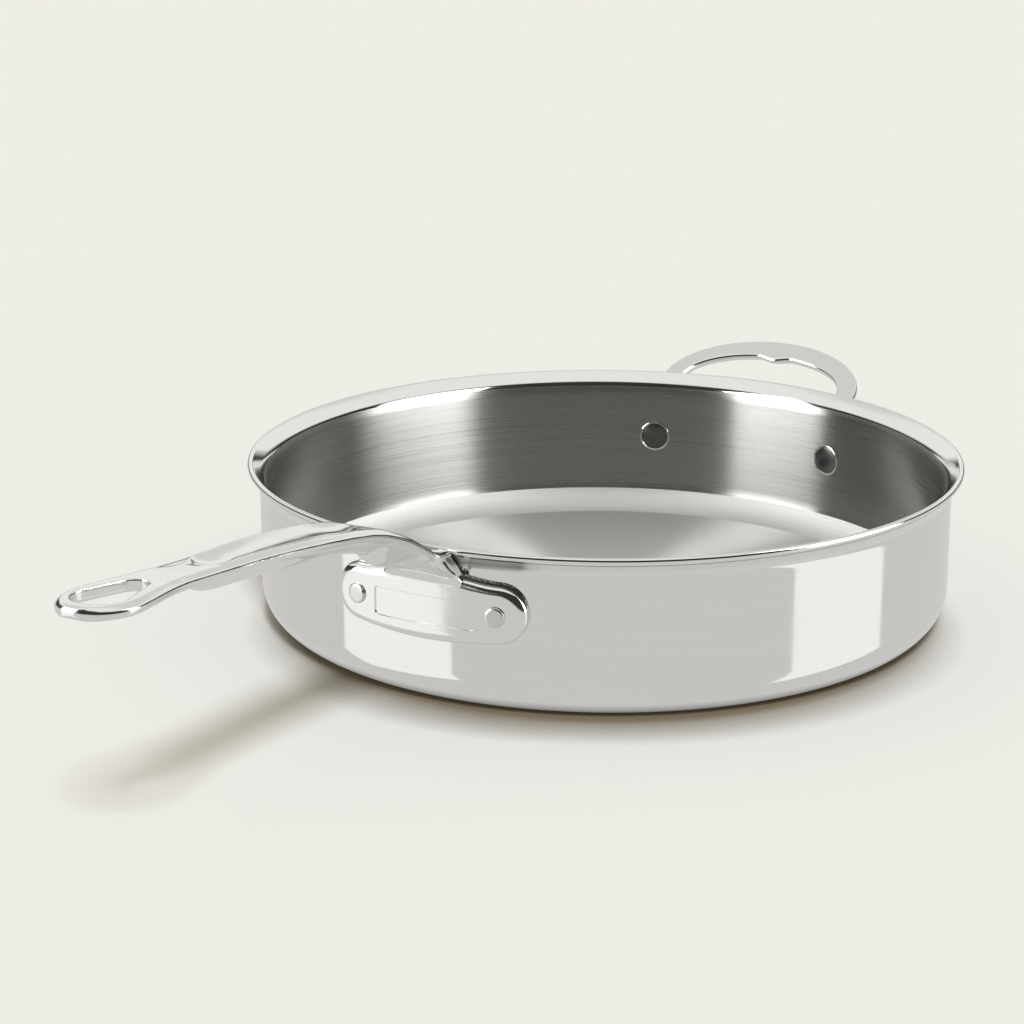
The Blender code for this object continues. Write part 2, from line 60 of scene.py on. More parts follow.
# How far the lip is shortened and the long handle lowered, so that they stay inside the CAD's box
LIP_EASE = 0.00004
HANDLE_SETTLE = 0.00001

# Rivets
RIVET_SHANK_RADIUS = 0.0031
RIVET_HEAD_RADIUS = 0.0064
RIVET_HEAD_PROUD = 0.00025
RIVET_TAIL_RADIUS = 0.0042
RIVET_TAIL_HEIGHT = 0.0009
RIVET_TAIL_SINK = 0.0003
# In millimetres: (inset, drop) at the tail's edge, (inset, depth) at the head's, (radius, height) of the seat
RIVET_TAIL_EDGE = ((1.3, 0), (0.8, 0.04), (0.42, 0.16), (0.15, 0.36), (0.02, 0.62), (0, 0.8))
RIVET_HEAD_EDGE = ((0, 0.16), (0.05, 0.06), (0.18, 0))
SEAT_SECTION = ((6.5, 0.5), (6.5, -0.12), (6.62, -0.24), (6.82, -0.27), (7.05, -0.2), (7.3, 0), (7.35, 0.5))

# Long handle
HANDLE_REACH = 0.2240
PLATE_THICKNESS = 0.0047
PLATE_LOBE_RADIUS = 0.0123
PLATE_LOBE_OFFSET = 0.0004
PLATE_BELLY = 0.0020
PLATE_TOP_RISE = 0.0019
PLATE_EDGE_ROUND = 0.0042
PLATE_EDGE_HEIGHT = 0.0038
PLATE_RISE_START = 0.4
LONG_RIVET_SPREAD = 0.0311
LONG_RIVET_DROP = 0.0263
PLATE_LOBE_DROP = 0.0261
PANEL_LENGTH = 0.0444
PANEL_HEIGHT = 0.0118
PANEL_CORNER = 0.0016
PANEL_DEPTH = 0.0006
PANEL_DROP = 0.0272
NECK_INSET = 0.0003
NECK_HALF_WIDTH = 0.0149
NECK_CROWN = 0.0003
NECK_CROWN_SHARE = 0.6
GRIP_START = 0.046
GRIP_HALF_WIDTH = 0.0133
GRIP_SHOULDER = 0.0013
GRIP_WEB = 0.0046
GRIP_LEAN = 0.0022
WAIST_HALF_WIDTH = 0.0103
TROUGH_HALF_WIDTH = 0.0100
TROUGH_DEPTH = 0.0018
TROUGH_RIM_WIDTH = 0.0032
EDGE_ROUND = 0.0024
LOOP_LENGTH = 0.0625
LOOP_SWELL_START = 0.054
LOOP_SWELL_END = 0.0145
LOOP_HALF_WIDTH = 0.0151
LOOP_END_LENGTH = 0.0185
LOOP_SHOULDER = 0.27
LOOP_LEAST_FLAT = 0.4
LOOP_THICKNESS = 0.0048
LOOP_TOP = 0.0367
LOOP_TILT = 0.045
HOLE_END_RADIUS = 0.0098
HOLE_NECK_RADIUS = 0.0050
HOLE_LENGTH = 0.0338
HOLE_TIP_WEB = 0.0061
HOLE_FLARE = 0.0007
# (height, flare) of the hole's edge, as shares of half the loop's thickness and of HOLE_FLARE
HOLE_LEVELS = ((-4, 5), (-1, 1), (-0.5, 0), (0.7, 0), (1, 0.35), (4, 4))

# Helper handle
LOOP_HALF_SPAN = 0.046
LOOP_DEPTH = 0.0265
LOOP_START = 0.0105
LOOP_SLOPE = math.radians(25)
LOOP_DROP = 0.0059
STRAP_HALF_WIDTH = 0.0049
STRAP_CROWN_HALF_WIDTH = 0.0061
STRAP_THICKNESS = 0.0050
THUMB_BUMP = 0.0026
THUMB_BUMP_LENGTH = 0.010
FOOT_HALF_WIDTH = 0.0120
FOOT_THICKNESS = 0.0038
HELPER_RIVET_ANGLE = math.radians(17.9)
HELPER_RIVET_DROP = 0.0313
KNEE_RADIUS = 0.012
FOOT_LOWEST = math.radians(-87)
FOOT_TIP_SHARE = 0.45
FOOT_TIP_LENGTH = 0.35
# Where along the knee the foot narrows to the strap, and at which angles of the loop the strap widens
KNEE_NARROWING = (-0.5, 0.67)
CROWN_WIDENING = (0.2, 1.4)

# The long handle follows the wall's curve up to the first distance from it, and is straight from the second
CURVED_UP_TO = 0.006
STRAIGHT_FROM = 0.022
PLATE_OUT = GAP + PLATE_THICKNESS

# How fine the meshes are
PAN_STEPS = 288
CORNER_STEPS = 14
FLARE_STEPS = 8
LIP_STEPS = 12
RIVET_STEPS = 64
PLATE_SIDE_STEPS = 24
PLATE_LOBE_STEPS = 28
PLATE_EDGE_STEPS = 12
DISH_STEPS = 8
SECTION_STEPS = 4
LENGTH_STEPS = 6
HOLE_STEPS = 36
PANEL_SIDE_STEPS = 24
PANEL_CORNER_STEPS = 8
FOOT_STEPS = 20
KNEE_STEPS = 24
HELPER_STEPS = 60
WELD = 0.001 * MM
HANDLE_VOXEL = 0.35 * MM
HANDLE_SMOOTHING = 4
SHARP_ANGLE = math.radians(32)

# Finishes: lines are how fast the steel changes along a brush line and from line to line, per metre, and
# bumps are a strength and a distance
FINE_LINES = (7, 5200)
COARSE_LINES = (3, 1500)
TURNING_LINES = (10, 2600)
HAZE_LINES = (30, 40)
CORE_LINES = (20, 1200)
# The inside wall's colour is darkened as painted shade, and the floor's is lightened as painted light, on one
# steel
SHADED_WALL_COLOURS = (0.35, 0.346, 0.336), (0.47, 0.465, 0.45)
LIT_FLOOR_COLOURS = (0.66, 0.655, 0.64), (0.76, 0.755, 0.74)
# The corner's colour is lighter than the floor's and the wall's: painted light
LIT_CORNER_COLOURS = (0.80, 0.795, 0.775), (0.90, 0.895, 0.875)
OUTSIDE_COLOURS = (0.815, 0.81, 0.795), (0.845, 0.84, 0.825)
WALL_ROUGHNESS = (0.26, 0.30)
FINE_SHARE = 0.7
COARSE_SHARE = 0.3
# Heights between which the floor's finish and painted light turn into the wall's finish and painted shade,
# behind the dull corner
FLOOR_TOP = SHEET + 0.004
WALL_START = SHEET + 0.008
FLOOR_DULLNESS = 0.12
FLOOR_GROOVES = 0.25
CORNER_ROUGHNESS = 0.7
BRUSH_BUMP = (0.8, 0.07 * MM)
TURNING_BUMP = (0.02, 0.004 * MM)
CAST_BUMP = (0.12, 0.25 * MM)
RIVET_BUMP = (0.08, 0.02 * MM)


# Node helpers


def new_material(name, colour, roughness):
    """A metal material, its node tree and its shader, plain until nodes vary its colour and roughness."""
    material = bpy.data.materials.new(name)
    material.use_nodes = True
    tree = material.node_tree
    shader = tree.nodes["Principled BSDF"]
    shader.inputs["Base Color"].default_value = (*colour, 1)
    shader.inputs["Metallic"].default_value = 1
    shader.inputs["Roughness"].default_value = roughness
    return material, tree, shader


def math_node(tree, operation, first, second=None):
    """The output of a math node. Its inputs are sockets or numbers."""
    node = tree.nodes.new("ShaderNodeMath")
    node.operation = operation
    for socket, value in zip(node.inputs, (first, second)):
        if isinstance(value, (int, float)):
            socket.default_value = value
        elif value is not None:
            tree.links.new(value, socket)
    return node.outputs[0]


def noise(tree, vector, scale, detail=2.0, roughness=0.5):
    """The value of a noise texture over this vector."""
    node = tree.nodes.new("ShaderNodeTexNoise")
    node.inputs["Scale"].default_value = scale
    node.inputs["Detail"].default_value = detail
    node.inputs["Roughness"].default_value = roughness
    tree.links.new(vector, node.inputs["Vector"])
    return node.outputs["Fac"]


def ranged(tree, value, low, high, to_low, to_high):
    """The value mapped from one range to another, kept inside it."""
    node = tree.nodes.new("ShaderNodeMapRange")
    node.inputs["From Min"].default_value = low
    node.inputs["From Max"].default_value = high
    node.inputs["To Min"].default_value = to_low
    node.inputs["To Max"].default_value = to_high
    tree.links.new(value, node.inputs["Value"])
    return node.outputs["Result"]


def stretched(tree, value, to_low, to_high):
    """A noise stretched from the values that it mostly takes to this range."""
    return ranged(tree, value, 0.3, 0.7, to_low, to_high)


def mixed_colour(tree, factor, first, second):
    """A colour between two, by the factor. Each of the two is a plain colour or a socket."""
    node = tree.nodes.new("ShaderNodeMix")
    node.data_type = "RGBA"
    for name, value in (("A", first), ("B", second)):
        if isinstance(value, tuple):
            node.inputs[name].default_value = (*value, 1)
        else:
            tree.links.new(value, node.inputs[name])
    tree.links.new(factor, node.inputs["Factor"])
    return node.outputs["Result"]


def object_place(tree):
    """The point as a vector, in metres."""
    return tree.nodes.new("ShaderNodeTexCoord").outputs["Object"]


def vector_parts(tree, vector):
    """The x, y and z of a vector."""
    node = tree.nodes.new("ShaderNodeSeparateXYZ")
    tree.links.new(vector, node.inputs[0])
    return node.outputs


def object_position(tree):
    """The x, y and z of the point, and its distance from the pan's axis."""
    x, y, z = vector_parts(tree, object_place(tree))
    x_squared = math_node(tree, "MULTIPLY", x, x)
    y_squared = math_node(tree, "MULTIPLY", y, y)
    radius = math_node(tree, "SQRT", math_node(tree, "ADD", x_squared, y_squared))
    return x, y, z, radius


def joined_vector(tree, x, y, z):
    """A vector from three values."""
    node = tree.nodes.new("ShaderNodeCombineXYZ")
    for socket, value in zip(node.inputs, (x, y, z)):
        tree.links.new(value, socket)
    return node.outputs[0]


def line_noise(tree, rates, detail=2.0, roughness=0.5):
    """A noise in lines round the pan's axis.

    Rates are how fast it changes along a line and from line to line, per metre. The way from the axis, radius
    plus height, counts the lines on the floor, in the corner and on the wall alike.
    """
    around, across = rates
    x, y, z, radius = object_position(tree)
    way = math_node(tree, "ADD", radius, z)
    scaled = [math_node(tree, "MULTIPLY", *pair) for pair in ((x, around), (y, around), (way, across))]
    return noise(tree, joined_vector(tree, *scaled), 1.0, detail, roughness)


def add_bump(tree, shader, height, strength, distance):
    """A bump on the shader from this height."""
    node = tree.nodes.new("ShaderNodeBump")
    node.inputs["Strength"].default_value = strength
    node.inputs["Distance"].default_value = distance
    tree.links.new(height, node.inputs["Height"])
    tree.links.new(node.outputs["Normal"], shader.inputs["Normal"])


def round_tangent(tree, shader):
    """Grain round the pan's axis: gloss spreads across the grain."""
    tangent = tree.nodes.new("ShaderNodeTangent")
    tangent.direction_type = "RADIAL"
    tangent.axis = "Z"
    tree.links.new(tangent.outputs["Tangent"], shader.inputs["Tangent"])


def brushed_steel():
    """Stainless steel brushed round the axis, with fine and coarse brush lines of uneven length.

    The floor is duller than the wall, as the flat brush leaves it. The floor's colour is lighter and the
    wall's darker: painted light on the floor and painted shade on the wall, on one steel.
    """
    material, tree, shader = new_material("brushed_steel", (0.80, 0.79, 0.77), 0.34)
    shader.inputs["Anisotropic"].default_value = 1.0
    shader.inputs["Anisotropic Rotation"].default_value = 0.25
    round_tangent(tree, shader)
    fine = math_node(tree, "MULTIPLY", line_noise(tree, FINE_LINES, 3.0, 0.65), FINE_SHARE)
    coarse = math_node(tree, "MULTIPLY", line_noise(tree, COARSE_LINES, 3.0, 0.6), COARSE_SHARE)
    lines = math_node(tree, "ADD", fine, coarse)
    streak = stretched(tree, lines, 0, 1)
    floor_finish_and_light = ranged(tree, object_position(tree)[2], FLOOR_TOP, WALL_START, 1, 0)
    # Painted shade on the wall and painted light on the floor, blended by height
    shaded_wall_colour = mixed_colour(tree, streak, *SHADED_WALL_COLOURS)
    lit_floor_colour = mixed_colour(tree, streak, *LIT_FLOOR_COLOURS)
    tree.links.new(mixed_colour(tree, floor_finish_and_light, shaded_wall_colour, lit_floor_colour), shader.inputs["Base Color"])
    wall_roughness = ranged(tree, streak, 0, 1, *WALL_ROUGHNESS)
    roughness = math_node(tree, "ADD", wall_roughness, math_node(tree, "MULTIPLY", floor_finish_and_light, FLOOR_DULLNESS))
    tree.links.new(roughness, shader.inputs["Roughness"])
    depth = math_node(tree, "MULTIPLY", lines, ranged(tree, floor_finish_and_light, 0, 1, 1, FLOOR_GROOVES))
    add_bump(tree, shader, depth, *BRUSH_BUMP)
    return material


def dull_steel():
    """The inside corner, rubbed dull without a clear grain, so that it gathers light from all round. Its
    colour is lighter than the floor's and the wall's: painted light.
    """
    material, tree, shader = new_material("dull_steel", (0.85, 0.845, 0.825), CORNER_ROUGHNESS)
    lines = line_noise(tree, FINE_LINES, 3.0, 0.65)
    colour = mixed_colour(tree, stretched(tree, lines, 0, 1), *LIT_CORNER_COLOURS)
    tree.links.new(colour, shader.inputs["Base Color"])
    return material


def polished_steel():
    """Polished sheet with a trace of turning lines and a faint haze."""
    material, tree, shader = new_material("polished_steel", (0.83, 0.825, 0.81), 0.10)
    lines = line_noise(tree, TURNING_LINES)
    haze = line_noise(tree, HAZE_LINES)
    colour = mixed_colour(tree, stretched(tree, lines, 0, 1), *OUTSIDE_COLOURS)
    tree.links.new(colour, shader.inputs["Base Color"])
    tree.links.new(stretched(tree, haze, 0.05, 0.10), shader.inputs["Roughness"])
    add_bump(tree, shader, lines, *TURNING_BUMP)
    return material


def satin_steel():
    """Sheet steel with a soft finish, where the polishing wheel doesn't reach under the lip."""
    material, tree, shader = new_material("satin_steel", (0.86, 0.855, 0.84), 0.32)
    lines = line_noise(tree, TURNING_LINES)
    tree.links.new(stretched(tree, lines, 0.28, 0.36), shader.inputs["Roughness"])
    return material


def cast_steel():
    """Cast steel, ground and polished by hand: soft waves under a bright finish, with fine hairlines."""
    material, tree, shader = new_material("polished_cast_steel", (0.84, 0.835, 0.82), 0.12)
    place = object_place(tree)
    waves = noise(tree, place, 130, 1.0, 0.4)
    hairlines = noise(tree, place, 2600, 2.0, 0.6)
    tree.links.new(stretched(tree, noise(tree, place, 60), 0.09, 0.17), shader.inputs["Roughness"])
    height = math_node(tree, "ADD", waves, math_node(tree, "MULTIPLY", hairlines, 0.02))
    add_bump(tree, shader, height, *CAST_BUMP)
    return material


def rivet_steel(name, colour):
    """Rivet steel with a fine turned grain."""
    material, tree, shader = new_material(name, colour, 0.22)
    grain = noise(tree, object_place(tree), 2400, 2.0, 0.6)
    tree.links.new(stretched(tree, grain, 0.18, 0.30), shader.inputs["Roughness"])
    add_bump(tree, shader, grain, *RIVET_BUMP)
    return material


def core_aluminium():
    """Rolled aluminium of the core."""
    material, tree, shader = new_material("aluminium_core", (0.85, 0.86, 0.87), 0.4)
    grain = line_noise(tree, CORE_LINES)
    tree.links.new(stretched(tree, grain, 0.35, 0.5), shader.inputs["Roughness"])
    return material


# Mesh helpers


def new_object(name, data, materials=()):
    """A new object in the scene, with these materials."""
    for material in materials:
        data.materials.append(material)
    obj = bpy.data.objects.new(name, data)
    bpy.context.scene.collection.objects.link(obj)
    return obj


def mesh_object(bm, name, materials, smooth=True):
    """An object from a bmesh, smooth except at sharp corners."""
    bmesh.ops.recalc_face_normals(bm, faces=bm.faces)
    mesh = bpy.data.meshes.new(name)
    bm.to_mesh(mesh)
    bm.free()
    if smooth:
        mesh.shade_smooth()
        mesh.set_sharp_from_angle(angle=SHARP_ANGLE)
    return new_object(name, mesh, materials)


def loft(rings, capped=True):
    """A closed bmesh through rings of equally many points, capped unless the rings close by themselves."""
    bm = bmesh.new()
    loops = [[bm.verts.new(point) for point in ring] for ring in rings]
    for first, second in zip(loops, loops[1:]):
        for i in range(len(first)):
            j = (i + 1) % len(first)
            bm.faces.new((first[i], first[j], second[j], second[i]))
    if capped:
        bm.faces.new(loops[0])
        bm.faces.new(reversed(loops[-1]))
    return bm


def turned(profile, steps, matrix=None):
    """A bmesh of (radius, height, material) points turned about Z. Points on the axis become one vertex."""
    bm = bmesh.new()
    rings = []
    for radius, height, _ in profile:
        if radius == 0:
            rings.append([bm.verts.new((0, 0, height))])
            continue
        ring = []
        for i in range(steps):
            turn = 2 * math.pi * i / steps
            ring.append(bm.verts.new((radius * math.cos(turn), radius * math.sin(turn), height)))
        rings.append(ring)
    for (first, second), (_, _, index) in zip(zip(rings, rings[1:]), profile):
        for i in range(steps):
            j = (i + 1) % steps
            corners = ((first, i), (first, j), (second, j), (second, i))
            face = bm.faces.new(dict.fromkeys(ring[k % len(ring)] for ring, k in corners))
            face.material_index = index
    if matrix:
        bmesh.ops.transform(bm, matrix=matrix, verts=bm.verts)
    return bm


def finished(obj, name, materials):
    """A new object with the modifiers of this one applied. The old one is removed."""
    depsgraph = bpy.context.evaluated_depsgraph_get()
    mesh = bpy.data.meshes.new_from_object(obj.evaluated_get(depsgraph))
    bpy.data.objects.remove(obj)
    mesh.name = name
    mesh.materials.clear()
    return new_object(name, mesh, materials)


def boolean(obj, cutter, operation):
    """An exact Boolean of this kind on the object."""
    modifier = obj.modifiers.new(operation.title(), "BOOLEAN")
    modifier.operation = operation
    modifier.solver = "EXACT"
    modifier.object = cutter


def smooth_step(value, start, end):
    """0 before start, 1 after end, and an S curve between."""
    share = min(max((value - start) / (end - start), 0), 1)
    return share * share * (3 - 2 * share)


def on_wall(out, across, up):
    """A point of the long handle: out from the wall, across along the wall, and up from the rim's top."""
    radius = WALL_RADIUS + out
    turn = across / WALL_RADIUS
    round_point = Vector((-radius * math.cos(turn), -radius * math.sin(turn)))
    straight_point = Vector((-radius, -across))
    straightness = smooth_step(out, CURVED_UP_TO, STRAIGHT_FROM)
    x, y = round_point.lerp(straight_point, straightness)
    return Vector((x, y, PAN_HEIGHT + up))


def dressed(obj, slot, *nodes):
    """The object as a piece of the root body that stands for these CAD nodes."""
    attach(obj, "root")
    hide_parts(*nodes)


# Pan

FLARE_START = PAN_HEIGHT - (
    (FLARE_RADIUS + SHEET / 2) * math.sin(FLARE_ANGLE)
    + FLARE_STRAIGHT * math.cos(FLARE_ANGLE)
    + SHEET / 2
)
# Material slots of the inside and of the outside
BRUSHED, POLISHED, DULL = 0, 1, 2
SHINY, SATIN = 0, 1
# Points of the sheet's line where the dull corner starts and ends, and how much of the flare is satin
DULL_START, DULL_END = 2, CORNER_STEPS - 2
SATIN_STEPS = FLARE_STEPS // 2


def sheet_line(depth, straight):
    """(radius, height) points of the sheet at this depth below its outside, from the axis to the lip."""
    corner = WALL_RADIUS - BASE_CORNER_RADIUS
    points = [(0, depth)]
    arm = BASE_CORNER_RADIUS - depth
    for i in range(CORNER_STEPS + 1):
        angle = math.radians(90) * i / CORNER_STEPS
        points.append((corner + arm * math.sin(angle), BASE_CORNER_RADIUS - arm * math.cos(angle)))
    centre = WALL_RADIUS + FLARE_RADIUS
    arm = FLARE_RADIUS + depth
    for i in range(FLARE_STEPS + 1):
        angle = FLARE_ANGLE * i / FLARE_STEPS
        points.append((centre - arm * math.cos(angle), FLARE_START + arm * math.sin(angle)))
    radius, height = points[-1]
    points.append((radius + straight * math.sin(FLARE_ANGLE), height + straight * math.cos(FLARE_ANGLE)))
    return points


def lip_round():
    """(radius, height) points round the lip's end, from its inside to its outside."""
    radius, height = sheet_line(SHEET / 2, FLARE_STRAIGHT)[-1]
    cosine, sine = math.cos(FLARE_ANGLE), math.sin(FLARE_ANGLE)
    points = []
    for i in range(1, LIP_STEPS):
        angle = math.pi * i / LIP_STEPS
        side = SHEET / 2 * math.cos(angle)
        along = (SHEET / 2 - LIP_EASE) * math.sin(angle)
        points.append((radius - side * cosine + along * sine, height + side * sine + along * cosine))
    return points


def give_finish(profile, start, end, index):
    """Sets the material slot of these points of a profile."""
    for i in range(start, end):
        profile[i] = (*profile[i][:2], index)


def make_pan(brushed, polished, dull, satin):
    """The brushed inside with its dull corner and polished lip, and the outside, satin under the lip."""
    inside = [(*point, BRUSHED) for point in sheet_line(SHEET, FLARE_STRAIGHT)]
    give_finish(inside, DULL_START, DULL_END, DULL)
    give_finish(inside, len(inside) - 1 - SATIN_STEPS, len(inside), POLISHED)
    lip = lip_round() + [sheet_line(0, FLARE_STRAIGHT)[-1], sheet_line(0, FLARE_STRAIGHT - LIP_FOLD)[-1]]
    under = sheet_line(OUTER_PLY + GAP + CORE_PLY + GAP, FLARE_STRAIGHT - LIP_FOLD)[::-1]
    profile = inside + [(*point, POLISHED) for point in lip + under]
    pan_inside = mesh_object(turned(profile, PAN_STEPS), "pan_inside", (brushed, polished, dull))
    dressed(pan_inside, "brushed_inside", "pan_inner_ply")

    plain_end = FLARE_STRAIGHT - LIP_FOLD - GAP
    profile = [(*point, SHINY) for point in sheet_line(OUTER_PLY, plain_end) + sheet_line(0, plain_end)[::-1]]
    half = len(profile) // 2
    give_finish(profile, half, half + SATIN_STEPS + 1, SATIN)
    pan_outside = mesh_object(turned(profile, PAN_STEPS), "pan_outside", (polished, satin))
    dressed(pan_outside, "polished_outside", "pan_outer_ply")


# Rivets


def rivet_place(angle, up):
    """A rivet's matrix at this angle from -X: local +Z points out of the pan, and z = 0 is its outside."""
    outward = Vector((-math.cos(angle), -math.sin(angle), 0))
    turn = outward.to_track_quat("Z", "Y").to_matrix().to_4x4()
    return Matrix.Translation(outward * WALL_RADIUS + Vector((0, 0, PAN_HEIGHT + up))) @ turn


def make_rivet(node, angle, up, grip, materials):
    """A rivet with a flat inside head in a bright bevelled seat, and a low tail with a worked edge.

    The materials are those of the tail and of the head, whose steel is darkened as painted shade.
    """
    head_end = -SHEET - RIVET_HEAD_PROUD
    tail_end = grip + RIVET_TAIL_HEIGHT + GAP
    tail = [(0, tail_end)]
    tail += [(RIVET_TAIL_RADIUS - inset * MM, tail_end - drop * MM) for inset, drop in RIVET_TAIL_EDGE]
    tail += [(radius, grip - RIVET_TAIL_SINK) for radius in (RIVET_TAIL_RADIUS, RIVET_SHANK_RADIUS)]
    tail += [(RIVET_SHANK_RADIUS, -OUTER_PLY)]
    head = [(RIVET_HEAD_RADIUS, -OUTER_PLY)]
    head += [(RIVET_HEAD_RADIUS - inset * MM, head_end + depth * MM) for inset, depth in RIVET_HEAD_EDGE]
    head += [(0, head_end)]
    profile = [(*point, 0) for point in tail] + [(*point, 1) for point in head]
    rivet = mesh_object(turned(profile, RIVET_STEPS, rivet_place(angle, up)), node + "_fine", materials)
    dressed(rivet, "rivet", node)


def make_seat(name, angle, up, material):
    """The bevelled edge of the wall round a rivet's inside head, a thin ring that follows the wall."""
    wall = WALL_RADIUS - SHEET
    bm = bmesh.new()
    rings = []
    for i in range(RIVET_STEPS):
        turn = 2 * math.pi * i / RIVET_STEPS
        ring = []
        for radius, height in SEAT_SECTION:
            x = radius * MM * math.cos(turn)
            y = radius * MM * math.sin(turn)
            ring.append(bm.verts.new((x, y, math.sqrt(wall**2 - x**2) - WALL_RADIUS + height * MM)))
        rings.append(ring)
    for first, second in zip(rings, rings[1:] + rings[:1]):
        for i in range(len(SEAT_SECTION)):
            j = (i + 1) % len(SEAT_SECTION)
            bm.faces.new((first[i], first[j], second[j], second[i]))
    bmesh.ops.transform(bm, matrix=rivet_place(angle, up), verts=bm.verts)
    seat = mesh_object(bm, name, (material,))
    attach(seat, "root")


# Long handle


def plate_outline():
    """(across, up) points round the plate: two round lobes, a bellied bottom edge and a raised top."""
    lobe = LONG_RIVET_SPREAD + PLATE_LOBE_OFFSET
    top = -PLATE_LOBE_DROP + PLATE_LOBE_RADIUS
    bottom_edge = []
    top_edge = []
    for i in range(PLATE_SIDE_STEPS):
        share = i / PLATE_SIDE_STEPS
        rise = 1 - smooth_step(share, PLATE_RISE_START, 1)
        belly = PLATE_BELLY * (1 - share**2)
        bottom_edge.append((lobe * share, -PLATE_LOBE_DROP - PLATE_LOBE_RADIUS - belly))
        top_edge.append((lobe * share, top + PLATE_TOP_RISE * rise))
    end = []
    for i in range(PLATE_LOBE_STEPS + 1):
        angle = math.radians(-90 + 180 * i / PLATE_LOBE_STEPS)
        x, y = PLATE_LOBE_RADIUS * math.cos(angle), PLATE_LOBE_RADIUS * math.sin(angle)
        end.append((lobe + x, -PLATE_LOBE_DROP + y))
    right = bottom_edge + end + top_edge[::-1]
    left = [(-across, up) for across, up in right[1:-1]]
    return right + left[::-1]


def make_plate():
    """The handle's plate, bent round the wall, with a broad pillow edge.

    Each level is its distance from the wall, and its share of the way from the middle line to the edge.
    """
    spine = LONG_RIVET_SPREAD
    levels = [(GAP, 0), (GAP, 0.5), (GAP, 1)]
    for i in range(PLATE_EDGE_STEPS + 1):
        angle = math.radians(90) * i / PLATE_EDGE_STEPS
        inset = PLATE_EDGE_ROUND * (1 - math.cos(angle))
        out = PLATE_OUT - PLATE_EDGE_HEIGHT * (1 - math.sin(angle))
        levels.append((out, 1 - inset / PLATE_LOBE_RADIUS))
    levels += [(PLATE_OUT, 0.3), (PLATE_OUT, 0)]
    rings = []
    for out, share in levels:
        ring = []
        for across, up in plate_outline():
            middle = (min(max(across, -spine), spine), -PLATE_LOBE_DROP)
            spot = (middle[0] + (across - middle[0]) * share, middle[1] + (up - middle[1]) * share)
            ring.append(on_wall(out, *spot))
        rings.append(ring)
    bm = loft(rings, capped=False)
    bmesh.ops.remove_doubles(bm, verts=bm.verts, dist=WELD)
    return bm


def curve_through(points, places, steps):
    """Vectors on a smooth curve through these at these places, with this many steps from each to the next."""
    slopes = []
    for i in range(len(points)):
        before, after = max(i - 1, 0), min(i + 1, len(points) - 1)
        if before == i or after == i:
            slopes.append((points[after] - points[before]) / (places[after] - places[before]))
            continue
        first, second = places[i] - places[before], places[after] - places[i]
        slopes.append(
            (points[i] - points[before]) * (second / first / (first + second))
            + (points[after] - points[i]) * (first / second / (first + second))
        )
    result = []
    for i in range(len(points) - 1):
        gap = places[i + 1] - places[i]
        for step in range(steps):
            s = step / steps
            result.append(
                points[i] * (2 * s**3 - 3 * s**2 + 1)
                + slopes[i] * (gap * (s**3 - 2 * s**2 + s))
                + points[i + 1] * (3 * s**2 - 2 * s**3)
                + slopes[i + 1] * (gap * (s**3 - s**2))
            )
    return result + [points[-1]]


def distances(points):
    """How far along a chain of vectors each of them is."""
    places = [0]
    for first, second in zip(points, points[1:]):
        places.append(places[-1] + (second - first).length)
    return places


def smooth_lengthways(rings, steps):
    """More rings between these, each of their points on a smooth line through them."""
    middles = [sum(ring, Vector()) / len(ring) for ring in rings]
    lines = [curve_through(line, distances(middles), steps) for line in zip(*rings)]
    return list(zip(*lines))


def handle_ring(top, bottom, half_width, trough, dip, shoulder, web):
    """One section of the long handle.

    Top and bottom are (out, up) at its middle. Trough is the half width of the recess on top, dip its
    depth, shoulder how far the edges drop, and web the thickness beside the keel. The trough's edge is crisp,
    and the rest of the section is one smooth curve.
    """
    depth = math.dist(top, bottom)
    keel = depth - web
    edge = min(EDGE_ROUND, half_width / 3, web / 2)
    dish = [(trough * i / DISH_STEPS, dip * (1 - (i / DISH_STEPS) ** 2.2)) for i in range(DISH_STEPS)]
    outline = [
        (trough, 0),
        (half_width - 0.45 * edge, 0.7 * shoulder),
        (half_width - 0.08 * edge, shoulder + 0.2 * edge),
        (half_width, shoulder + 0.55 * edge),
        (half_width - 0.2 * edge, web - 0.2 * edge),
        (half_width - edge, web),
        (0.60 * half_width, web + 0.25 * keel),
        (0.36 * half_width, web + 0.72 * keel),
        (0.16 * half_width, web + 0.95 * keel),
        (0, web + keel),
    ]
    outline = [Vector(point) for point in outline]
    half = dish + curve_through(outline, distances(outline), SECTION_STEPS)
    points = half + [(-across, down) for across, down in half[-2:0:-1]]
    ring = []
    for across, down in points:
        share = down / depth
        out = top[0] + (bottom[0] - top[0]) * share
        up = top[1] + (bottom[1] - top[1]) * share
        ring.append(on_wall(out, across, up))
    return ring


